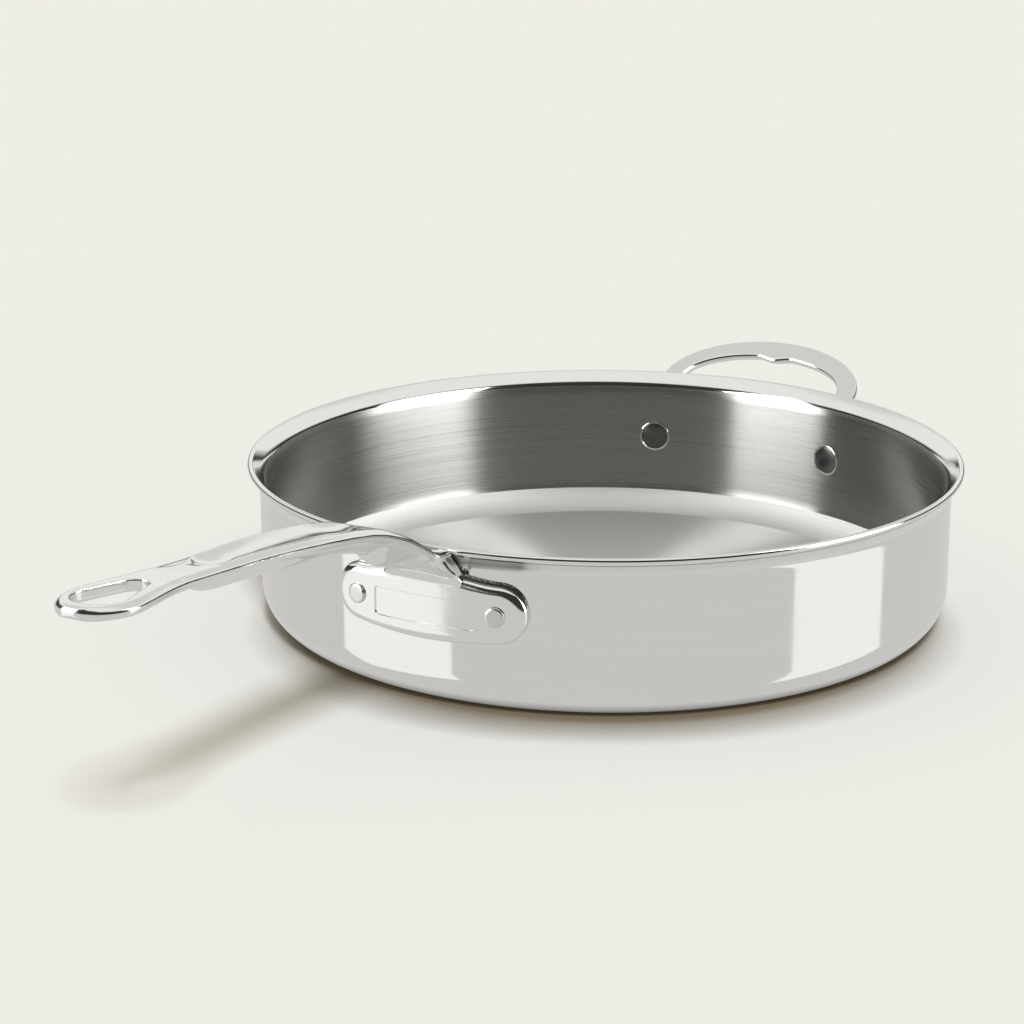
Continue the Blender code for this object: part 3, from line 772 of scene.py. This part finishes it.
def neck_rings():
    """Sections from inside the plate, up under the rim and over the arch, to where the grip starts.

    Each row is top (out, up), bottom (out, up), extra half width, shoulder and web in millimetres.
    """
    back = (GAP + NECK_INSET) / MM
    front = (PLATE_OUT - NECK_INSET) / MM
    rows = (
        ((back, -22.0), (front, -22.0), 5.1, 0.2, front - back),
        ((back, -13.5), (front + 0.7, -14.0), 2.7, 0.2, front),
        ((1.2, -9.3), (7.2, -10.6), 0.9, 0.3, 6.6),
        ((3.3, -5.8), (10.3, -8.2), 0.1, 0.4, 8.4),
        ((6.3, -2.6), (13.6, -5.2), 0, 0.6, 8.8),
        ((7.4, 0.2), (16.8, -2.7), 0, 0.9, 10.6),
        ((11.0, 1.7), (19.6, -0.7), 0, 1.0, 9.4),
        ((15.2, 2.6), (21.6, 0.2), 0, 1.0, 7.2),
        ((19.4, 4.3), (23.4, -0.4), 0, 1.0, 5.6),
        ((23.4, 6.6), (26.6, -1.9), -0.1, 1.0, 4.9),
        ((28.0, 9.3), (32.0, -1.9), -0.2, 1.0, 4.6),
        ((34.0, 12.6), (38.0, -0.2), -0.4, 1.0, 4.5),
        ((40.0, 15.4), (43.6, 3.0), -0.6, 1.1, 4.5),
    )
    rings = []
    for top, bottom, extra, shoulder, web in rows:
        ends = [(out * MM, up * MM) for out, up in (top, bottom)]
        half_width = NECK_HALF_WIDTH + extra * MM
        crown_half_width = NECK_CROWN_SHARE * half_width
        rings.append(handle_ring(*ends, half_width, crown_half_width, -NECK_CROWN, shoulder * MM, web * MM))
    return rings


def grip_rings():
    """Sections along the grip. Each row is share of the way, height of the top and depth, in millimetres."""
    end = HANDLE_REACH - LOOP_LENGTH
    rows = (
        (0.00, 17.9, 10.8),
        (0.08, 20.9, 10.6),
        (0.20, 23.7, 10.4),
        (0.34, 26.3, 10.9),
        (0.48, 28.5, 11.5),
        (0.62, 30.3, 11.6),
        (0.76, 31.6, 11.3),
        (0.88, 32.6, 10.9),
        (0.94, 33.2, 9.9),
        (0.97, 33.5, 8.7),
        (1.00, 33.8, 6.8),
    )
    rings = []
    for share, height, depth in rows:
        out = GRIP_START + (end - GRIP_START) * share
        widening = smooth_step(share, 0.95, 0.35)
        half_width = WAIST_HALF_WIDTH + (GRIP_HALF_WIDTH - WAIST_HALF_WIDTH) * widening
        half_width += (NECK_HALF_WIDTH - GRIP_HALF_WIDTH) * smooth_step(share, 0.3, -0.3)
        opening = smooth_step(share, -0.06, 0.22) * (1 - smooth_step(share, 0.90, 0.965))
        narrowing = (half_width - TROUGH_RIM_WIDTH) / (GRIP_HALF_WIDTH - TROUGH_RIM_WIDTH)
        trough = TROUGH_HALF_WIDTH * min(narrowing, 1) * max(opening, 0.45)
        lean = GRIP_LEAN * (1 - smooth_step(share, 0, 0.8))
        top, bottom = (out, height * MM), (out + lean, (height - depth) * MM)
        dip = TROUGH_DEPTH * smooth_step(opening, 0.1, 0.9)
        rings.append(handle_ring(top, bottom, half_width, trough, dip, GRIP_SHOULDER, GRIP_WEB))
    return rings


def loop_rings():
    """Sections of the flat loop end. Each row is distance back from the tip and height, in millimetres."""
    rows = (
        (53.0, 34.7),
        (43.0, 35.4),
        (34.0, 36.0),
        (26.0, 36.4),
        (18.5, 36.7),
        (13.5, 36.9),
        (9.0, 37.1),
        (5.5, 37.25),
        (3.0, 37.35),
        (1.4, 37.4),
        (0.5, 37.4),
        (0.1, 37.4),
    )
    rings = []
    for back, height in rows:
        back = back * MM
        if back >= LOOP_END_LENGTH:
            swell = smooth_step(back, LOOP_SWELL_START, LOOP_SWELL_END)
            half_width = WAIST_HALF_WIDTH + (LOOP_HALF_WIDTH - WAIST_HALF_WIDTH) * swell
        else:
            half_width = LOOP_HALF_WIDTH * math.sqrt(1 - (1 - back / LOOP_END_LENGTH) ** 2)
        past_round = min(back / EDGE_ROUND, 1)
        thickness = LOOP_THICKNESS * math.sqrt(1 - (1 - past_round) ** 2)
        drop = (LOOP_THICKNESS - thickness) / 2
        top = (HANDLE_REACH - back, height * MM - drop)
        bottom = (HANDLE_REACH - back, height * MM - drop - thickness)
        flat = max(half_width - EDGE_ROUND, LOOP_LEAST_FLAT * half_width)
        rings.append(handle_ring(top, bottom, half_width, flat, 0, LOOP_SHOULDER * thickness, thickness))
    return rings


def hanging_hole():
    """The cutter of the teardrop hole: two arcs joined by straight sides, wider at its top and bottom."""
    far = HANDLE_REACH - HOLE_TIP_WEB - HOLE_END_RADIUS
    near = HANDLE_REACH - HOLE_TIP_WEB - HOLE_LENGTH + HOLE_NECK_RADIUS
    lean = math.asin((HOLE_END_RADIUS - HOLE_NECK_RADIUS) / (far - near))
    outline = []
    for centre, radius, first, last in (
        (far, HOLE_END_RADIUS, -math.pi / 2 - lean, math.pi / 2 + lean),
        (near, HOLE_NECK_RADIUS, math.pi / 2 + lean, math.pi * 1.5 - lean),
    ):
        for i in range(HOLE_STEPS + 1):
            angle = first + (last - first) * i / HOLE_STEPS
            outline.append((centre, radius, angle))
    half = LOOP_THICKNESS / 2
    rings = []
    for rise, flare in HOLE_LEVELS:
        ring = []
        for centre, radius, angle in outline:
            arm = radius + flare * HOLE_FLARE
            middle = LOOP_TOP - half + (centre - far) * LOOP_TILT
            ring.append(on_wall(centre + arm * math.cos(angle), arm * math.sin(angle), middle + rise * half))
        rings.append(ring)
    return mesh_object(loft(rings), "hole_cutter", ())


def panel_cutter():
    """The cutter of the plate's shallow rectangle: round corners, and walls that slope a little.

    Each level is its distance from the plate's face, its spread, and its share of the way to the edge.
    """
    flat = PANEL_LENGTH / 2 - PANEL_CORNER
    half_height = PANEL_HEIGHT / 2 - PANEL_CORNER
    outline = []
    for quarter, (side, rise) in enumerate(((1, 1), (-1, 1), (-1, -1), (1, -1))):
        for i in range(PANEL_CORNER_STEPS + 1):
            angle = math.radians(90) * (quarter + i / PANEL_CORNER_STEPS)
            outline.append((side * flat, rise * half_height, angle))
        if rise == side:
            run = [side * flat * (1 - 2 * i / PANEL_SIDE_STEPS) for i in range(1, PANEL_SIDE_STEPS)]
            outline += [(across, rise * half_height, angle) for across in run]
    levels = (
        (-PANEL_DEPTH, -0.25 * MM, 0),
        (-PANEL_DEPTH, -0.25 * MM, 0.5),
        (-PANEL_DEPTH, -0.25 * MM, 0.95),
        (-PANEL_DEPTH, -0.25 * MM, 1),
        (-PANEL_DEPTH + 0.1 * MM, -0.14 * MM, 1),
        (0, 0.12 * MM, 1),
        (2 * MM, 0.5 * MM, 1),
    )
    rings = []
    for out, spread, share in levels:
        ring = []
        for across, up, angle in outline:
            arm = PANEL_CORNER + spread
            side = across + arm * math.cos(angle)
            middle = min(max(side, -flat), flat)
            side = middle + (side - middle) * share
            ring.append(on_wall(PLATE_OUT + out, side, (up + arm * math.sin(angle)) * share - PANEL_DROP))
        rings.append(ring)
    bm = loft(rings)
    bmesh.ops.remove_doubles(bm, verts=bm.verts, dist=WELD)
    return mesh_object(bm, "panel_cutter", ())


def make_long_handle(material):
    """The cast handle: its sections smoothed, joined to the plate with soft inner corners, then cut."""
    rings = smooth_lengthways(neck_rings() + grip_rings() + loop_rings(), LENGTH_STEPS)
    bar = mesh_object(loft(rings), "bar", ())
    hole = hanging_hole()
    boolean(bar, hole, "DIFFERENCE")
    bar = finished(bar, "bar", ())
    bpy.data.objects.remove(hole)

    bm = bmesh.new()
    bm.from_mesh(bar.data)
    plate = mesh_object(make_plate(), "plate", ())
    bm.from_mesh(plate.data)
    for obj in (bar, plate):
        bpy.data.objects.remove(obj)
    handle = mesh_object(bm, "handle_raw", (), smooth=False)
    remesh = handle.modifiers.new("Join", "REMESH")
    remesh.mode = "VOXEL"
    remesh.voxel_size = HANDLE_VOXEL
    soften = handle.modifiers.new("Soften", "SMOOTH")
    soften.factor = 0.5
    soften.iterations = HANDLE_SMOOTHING
    handle = finished(handle, "handle_soft", ())
    handle.data.transform(Matrix.Translation((0, 0, -HANDLE_SETTLE)))
    cutter = panel_cutter()
    boolean(handle, cutter, "DIFFERENCE")
    handle = finished(handle, "long_handle_fine", (material,))
    bpy.data.objects.remove(cutter)
    handle.data.shade_smooth()
    handle.data.set_sharp_from_angle(angle=SHARP_ANGLE)
    dressed(handle, "polished_casting", "long_handle")


# Helper handle


def helper_ring(centre, across, top, half_width, thickness, hug):
    """One section of the helper strap: flat towards top, with round edges, and rounder on the other side.

    Its shape is (side, rise) points of one half, as shares of half the width and half the thickness. Hug is
    how far it follows the wall's curve.
    """
    edge, waist = 0.24, 0.35
    shape = [(0, 1.0), (0.35, 1.0), (0.62, 0.99)]
    for i in range(1, 8):
        angle = math.radians(90) * i / 7
        shape.append((1 - edge + edge * math.sin(angle), waist + 0.63 * math.cos(angle)))
    for i in range(1, 10):
        angle = math.radians(90) * i / 10
        shape.append((math.cos(angle) ** 0.75, waist - (1 + waist) * math.sin(angle)))
    shape.append((0, -1.0))
    ring = []
    for side, rise in shape + [(-side, rise) for side, rise in shape[-2:0:-1]]:
        offset = side * half_width
        lift = rise * thickness / 2 + hug * offset**2 / (2 * WALL_RADIUS)
        ring.append(centre + across * offset + top * lift)
    return ring


def helper_path():
    """(centre, across, top, half width, thickness, hug) along the +Y half, from the foot to the crown."""
    radial = Vector((math.cos(HELPER_RIVET_ANGLE), math.sin(HELPER_RIVET_ANGLE), 0))
    sideways = Vector((-math.sin(HELPER_RIVET_ANGLE), math.cos(HELPER_RIVET_ANGLE), 0))
    foot_centre = radial * (WALL_RADIUS + GAP + FOOT_THICKNESS / 2)
    rivet_height = PAN_HEIGHT - HELPER_RIVET_DROP
    stations = []
    for i in range(FOOT_STEPS + 1):
        angle = FOOT_LOWEST * (1 - i / FOOT_STEPS)
        height = rivet_height + FOOT_HALF_WIDTH * math.sin(angle)
        width = FOOT_HALF_WIDTH * math.cos(angle)
        thin = FOOT_TIP_SHARE + (1 - FOOT_TIP_SHARE) * smooth_step(i / FOOT_STEPS, 0, FOOT_TIP_LENGTH)
        spot = foot_centre + Vector((0, 0, height)) - radial * (FOOT_THICKNESS * (1 - thin) / 2)
        stations.append((spot, sideways, -radial, width, FOOT_THICKNESS * thin, 1))

    slope_line = Vector((math.cos(LOOP_SLOPE), 0, math.sin(LOOP_SLOPE)))
    loop_centre = Vector((WALL_RADIUS + LOOP_START, 0, PAN_HEIGHT - LOOP_DROP))
    leg_end = loop_centre + Vector((0, LOOP_HALF_SPAN, 0))
    reach = leg_end.x - foot_centre.x
    corner_height = leg_end.z - reach * math.tan(LOOP_SLOPE)
    bend = math.pi / 2 - LOOP_SLOPE
    tangent = KNEE_RADIUS * math.tan(bend / 2)
    knee_centre = Vector((foot_centre.x + KNEE_RADIUS, 0, corner_height - tangent))
    knee_start = foot_centre.y
    for i in range(1, KNEE_STEPS + 1):
        share = i / KNEE_STEPS
        turn = bend * share
        ease = smooth_step(share, 0, 1)
        spot = knee_centre + Vector((-math.cos(turn), 0, math.sin(turn))) * KNEE_RADIUS
        spot.y = knee_start + (leg_end.y - knee_start) * ease
        across = sideways.lerp(Vector((0, 1, 0)), ease).normalized()
        top = -radial.lerp(Vector((1, 0, 0)), ease).normalized()
        top.rotate(Matrix.Rotation(turn, 3, "Y"))
        foot_share = 1 - smooth_step(share, *KNEE_NARROWING)
        width = STRAP_HALF_WIDTH + (FOOT_HALF_WIDTH - STRAP_HALF_WIDTH) * foot_share
        thickness = FOOT_THICKNESS + (STRAP_THICKNESS - FOOT_THICKNESS) * ease
        stations.append((spot, across, top, width, thickness, 1 - ease))

    strap_top = Vector((-math.sin(LOOP_SLOPE), 0, math.cos(LOOP_SLOPE)))
    depth = LOOP_DEPTH / math.cos(LOOP_SLOPE)
    for i in range(1, HELPER_STEPS + 1):
        angle = math.radians(90) * i / HELPER_STEPS
        spot = loop_centre + Vector((0, LOOP_HALF_SPAN * math.cos(angle), 0))
        spot += slope_line * (depth * math.sin(angle))
        along = Vector((0, -LOOP_HALF_SPAN * math.sin(angle), 0))
        along += slope_line * (depth * math.cos(angle))
        across = strap_top.cross(along.normalized())
        crown_share = smooth_step(angle, *CROWN_WIDENING)
        width = STRAP_HALF_WIDTH + (STRAP_CROWN_HALF_WIDTH - STRAP_HALF_WIDTH) * crown_share
        bump = 1 - smooth_step(abs(spot.y), 0, THUMB_BUMP_LENGTH)
        width += THUMB_BUMP / 2 * bump
        spot -= slope_line * (THUMB_BUMP / 2 * bump)
        stations.append((spot, across, strap_top, width, STRAP_THICKNESS, 0))
    return stations


def make_helper_handle(material):
    """The cast loop: a strap swept from one foot, round the loop, to the other foot."""
    rings = [helper_ring(*station) for station in helper_path()]
    mirrored = [[point * Vector((1, -1, 1)) for point in ring] for ring in rings[-2::-1]]
    helper = mesh_object(loft(rings + mirrored), "helper_handle_fine", (material,))
    dressed(helper, "polished_casting", "helper_handle")


# Studio

CAMERA_PLACE = (-1.0485, -0.5438, 0.3923)
CAMERA_HEADING = math.radians(29.40)
CAMERA_PITCH = math.radians(-16.49)
FOCAL_PIXELS = 2768.68
IMAGE_PIXELS = 1024
SENSOR = 36
PALE_FLOOR = (0.866, 0.85, 0.815)
CONTACT_SHADE = (0.22, 0.17, 0.11)
CONTACT_REACH = 0.042
AMBIENT = (0.502, 0.471, 0.385)
TABLE = (0.66, 0.655, 0.64)
PAINTED_GAP_SHADE = (0.03, 0.026, 0.02)
CEILING = (0.92, 0.915, 0.90)
DARK_ROOM = (0.035, 0.035, 0.033)
CEILING_LEAN = 0.5
CEILING_EDGE = 0.574
CEILING_BLUR = 0.03
CROWN_EDGE = 0.82
BACK_CROWN = 0.78
BACK_START = 0.05
BACK_FULL = 0.35
TABLE_START = 0.02
TABLE_FULL = -0.06
CONTACT_DARK = 0.22
CONTACT_OPEN = 0.68
FLOOR_HALF = 6
UNDER_PAN_INNER = 0.136
UNDER_PAN_OUTER = 0.149
CARD_TOP = 0.04
CARD_BRIGHTNESS = 0.36
BOX_BRIGHTNESS = 9.6
BOX_TOP_BRIGHTNESS = 3.4
SECOND_GLOSS = 0.25
SUN_ENERGY = 2.54
SUN_ANGLE = math.radians(12)
SUN_COLOUR = (0.84, 0.907, 1.0)
SUN_LINE = (-0.066, -0.70, -0.735)


def make_camera():
    """The photograph's camera."""
    data = bpy.data.cameras.new("camera")
    data.sensor_width = SENSOR
    data.lens = SENSOR * FOCAL_PIXELS / IMAGE_PIXELS
    data.clip_start = 0.01
    camera = new_object("camera", data)
    camera.location = CAMERA_PLACE
    flat = math.cos(CAMERA_PITCH)
    forward = Vector(
        (math.cos(CAMERA_HEADING) * flat, math.sin(CAMERA_HEADING) * flat, math.sin(CAMERA_PITCH))
    )
    camera.rotation_euler = forward.to_track_quat("-Z", "Y").to_euler()
    bpy.context.scene.camera = camera


def studio_place(right, toward, up):
    """A place by the distances from the pan's axis, to the camera's right and towards the camera."""
    right_line = Vector((math.sin(CAMERA_HEADING), -math.cos(CAMERA_HEADING), 0))
    toward_line = Vector((-math.cos(CAMERA_HEADING), -math.sin(CAMERA_HEADING), 0))
    return right_line * right + toward_line * toward + Vector((0, 0, up))


def make_panel(name, middle, width, height, brightness):
    """A rectangular lamp for gloss only, turned to face the pan. Width and height are its sides as vectors.

    Its brightness adds to that of the room behind it, and 1 is white. After two bounces it is dimmer, so that
    the inside of the pan keeps its dark bands, and after a diffuse one it is off, so that the floor is even.
    """
    data = bpy.data.lights.new(name, "AREA")
    data.shape = "RECTANGLE"
    data.size = width.length
    data.size_y = height.length
    data.energy = brightness * math.pi * width.length * height.length
    data.use_nodes = True
    tree = data.node_tree
    paths = tree.nodes.new("ShaderNodeLightPath")
    depth = ranged(tree, paths.outputs["Ray Depth"], 2.4, 2.6, 1, SECOND_GLOSS)
    gloss = ranged(tree, paths.outputs["Diffuse Depth"], 0.4, 0.6, 1, 0)
    tree.links.new(math_node(tree, "MULTIPLY", depth, gloss), tree.nodes["Emission"].inputs["Strength"])
    lamp = new_object(name, data)
    back = width.cross(height)
    if back.dot(middle) < 0:
        width = -width
        back = -back
    axes = Matrix((width.normalized(), height.normalized(), back.normalized())).transposed()
    lamp.matrix_world = Matrix.Translation(middle) @ axes.to_4x4()
    lamp.visible_camera = lamp.visible_diffuse = False


def matt_material(name, colour):
    """A material without gloss, its node tree and its shader."""
    material, tree, shader = new_material(name, colour, 0.9)
    for plain in ("Metallic", "Specular IOR Level"):
        shader.inputs[plain].default_value = 0
    return material, tree, shader


def make_floor():
    """A wide pale floor, with a soft dark shade painted into its colour where the pan hides the light from
    behind.
    """
    bm = bmesh.new()
    corners = ((-1, -1), (1, -1), (1, 1), (-1, 1))
    bm.faces.new([bm.verts.new((x * FLOOR_HALF, y * FLOOR_HALF, 0)) for x, y in corners])
    material, tree, shader = matt_material("floor", PALE_FLOOR)
    contact = tree.nodes.new("ShaderNodeAmbientOcclusion")
    contact.samples = 32
    contact.inputs["Distance"].default_value = CONTACT_REACH
    back = tree.nodes.new("ShaderNodeCombineXYZ")
    for socket, value in zip(back.inputs, studio_place(0, -0.7, 0.7)):
        socket.default_value = value
    tree.links.new(back.outputs[0], contact.inputs["Normal"])
    # Painted shadow: ambient occlusion turns the floor's colour brown near the pan
    open_share = ranged(tree, contact.outputs["AO"], CONTACT_DARK, CONTACT_OPEN, 0, 1)
    tree.links.new(mixed_colour(tree, open_share, CONTACT_SHADE, PALE_FLOOR), shader.inputs["Base Color"])
    floor = mesh_object(bm, "floor", (material,))
    floor.visible_glossy = False


def make_painted_gap_shade():
    """A dark disc under the base, painted shade of the gap there, which the base corner reflects. Only gloss
    sees it.
    """
    bm = bmesh.new()
    place = Matrix.Translation((0, 0, -GAP))
    bmesh.ops.create_circle(bm, cap_ends=True, segments=96, radius=WALL_RADIUS, matrix=place)
    # Painted shade for reflections: a dark disc that fades out towards the base's edge
    material, tree, shader = matt_material("painted_gap_shade", PAINTED_GAP_SHADE)
    radius = object_position(tree)[3]
    tree.links.new(ranged(tree, radius, UNDER_PAN_INNER, UNDER_PAN_OUTER, 1, 0), shader.inputs["Alpha"])
    under = mesh_object(bm, "painted_gap_shade", (material,))
    under.visible_camera = under.visible_diffuse = under.visible_shadow = False


def make_world():
    """Plain ambient light, and for gloss a pale table, a bright ceiling that leans back, and a dark room."""
    world = bpy.data.worlds.new("studio")
    bpy.context.scene.world = world
    world.use_nodes = True
    tree = world.node_tree
    background = tree.nodes["Background"]
    x, y, z = vector_parts(tree, tree.nodes.new("ShaderNodeTexCoord").outputs["Generated"])
    away_x = math_node(tree, "MULTIPLY", x, math.cos(CAMERA_HEADING))
    away_y = math_node(tree, "MULTIPLY", y, math.sin(CAMERA_HEADING))
    away = math_node(tree, "ADD", away_x, away_y)
    lean = math_node(tree, "ADD", z, math_node(tree, "MULTIPLY", away, CEILING_LEAN))
    ceiling = ranged(tree, lean, CEILING_EDGE - CEILING_BLUR, CEILING_EDGE + CEILING_BLUR, 0, 1)
    crown = ranged(tree, lean, CROWN_EDGE - CEILING_BLUR, CROWN_EDGE + CEILING_BLUR, 0, 1)
    shade = ranged(tree, away, BACK_START, BACK_FULL, 0, 1 - BACK_CROWN)
    crown = math_node(tree, "SUBTRACT", 1, math_node(tree, "MULTIPLY", crown, shade))
    room = mixed_colour(tree, math_node(tree, "MULTIPLY", ceiling, crown), DARK_ROOM, CEILING)
    seen = mixed_colour(tree, ranged(tree, z, TABLE_START, TABLE_FULL, 0, 1), room, TABLE)
    paths = tree.nodes.new("ShaderNodeLightPath")
    light = mixed_colour(tree, paths.outputs["Is Glossy Ray"], AMBIENT, seen)
    tree.links.new(light, background.inputs["Color"])


def make_studio():
    """Camera, floor, room and lamps.

    Each side has a card and a box over it. Its row is its name, its first and last corner as (right, toward),
    its low edge, the box's shoulder and top, and the share of the side's length that the box takes.
    """
    make_camera()
    make_floor()
    make_painted_gap_shade()
    make_world()
    sides = (
        ("left", (-1.552, 1.274), (-1.703, -0.087), -1.3, 0.80, 1.70, 0.89),
        ("right", (0.475, 0.343), (1.162, -0.115), -0.42, 0.40, 0.80, 0.94),
    )
    for side, first, last, low, shoulder, high, reach in sides:
        first, last = studio_place(*first, 0), studio_place(*last, 0)
        panels = (
            ("card", low, CARD_TOP, 1, CARD_BRIGHTNESS),
            ("box", CARD_TOP, shoulder, reach, BOX_BRIGHTNESS),
            ("box_top", shoulder, high, reach, BOX_TOP_BRIGHTNESS),
        )
        for name, bottom, top, share, brightness in panels:
            middle = first.lerp(last, share / 2) + Vector((0, 0, (bottom + top) / 2))
            height = Vector((0, 0, top - bottom))
            make_panel(side + "_" + name, middle, (last - first) * share, height, brightness)
    sun = bpy.data.lights.new("sun", "SUN")
    sun.energy = SUN_ENERGY
    sun.angle = SUN_ANGLE
    sun.color = SUN_COLOUR
    lamp = new_object("sun", sun)
    lamp.rotation_euler = studio_place(*SUN_LINE).to_track_quat("-Z", "Y").to_euler()
    lamp.visible_glossy = False
    bpy.context.scene.view_settings.view_transform = "Standard"


def main():
    brushed = brushed_steel()
    polished = polished_steel()
    cast = cast_steel()
    rivets = (
        rivet_steel("rivet_steel", (0.70, 0.695, 0.68)),
        # The inside heads' steel is darkened: painted shade
        rivet_steel("rivet_head_shaded_steel", (0.16, 0.16, 0.155)),
    )
    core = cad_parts["pan_core_ply"]
    core.data.materials.clear()
    core.data.materials.append(core_aluminium())

    make_pan(brushed, polished, dull_steel(), satin_steel())
    make_long_handle(cast)
    make_helper_handle(cast)
    long_angle = LONG_RIVET_SPREAD / WALL_RADIUS
    handles = (
        ("long_handle", 0, long_angle, -LONG_RIVET_DROP, PLATE_OUT),
        ("helper_handle", math.pi, -HELPER_RIVET_ANGLE, -HELPER_RIVET_DROP, GAP + FOOT_THICKNESS),
    )
    for handle, middle, spread, up, grip in handles:
        for side, angle in (("left", middle + spread), ("right", middle - spread)):
            make_rivet(handle + "_rivet_" + side, angle, up, grip, rivets)
            make_seat(handle + "_seat_" + side, angle, up, polished)
    make_studio()


main()
